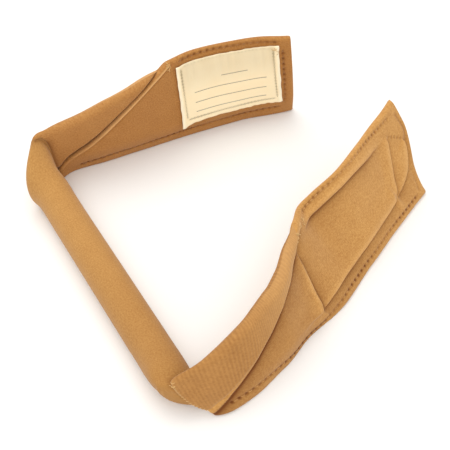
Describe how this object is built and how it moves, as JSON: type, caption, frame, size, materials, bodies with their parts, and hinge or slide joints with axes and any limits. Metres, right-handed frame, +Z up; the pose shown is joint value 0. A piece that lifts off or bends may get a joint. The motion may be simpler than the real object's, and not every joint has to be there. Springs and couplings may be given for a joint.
{
  "type": "patella strap",
  "caption": "Open padded knee strap: a round roll that lies under the kneecap, with a flat cloth wing folded up from each end and a hook patch inside one of them.",
  "frame": {"origin": "below the middle of the strap's box, on the surface that it lies on", "axes": "+Z up, across the wings' width; +X along the longest side of the box, towards the free end of the closure wing; +Y away from the corner between the roll and the closure wing"},
  "size_m": [0.1972, 0.1852, 0.0495],
  "materials": {
    "roll_cloth": "brushed stretch knit, matt",
    "band_cloth": "fine ribbed elastic, matt",
    "wing_cloth": "brushed knit over foam, matt",
    "label_cloth": "plain woven cloth, matt",
    "hook_tape": "nylon hook tape, slight sheen"
  },
  "bodies": {
    "root": {"roll": "roll_cloth", "band_label": "band_cloth", "band_closure": "band_cloth", "wing_label": "wing_cloth", "wing_closure": "wing_cloth", "label": "label_cloth", "hook_patch": "hook_tape"}
  },
  "joints": []
}
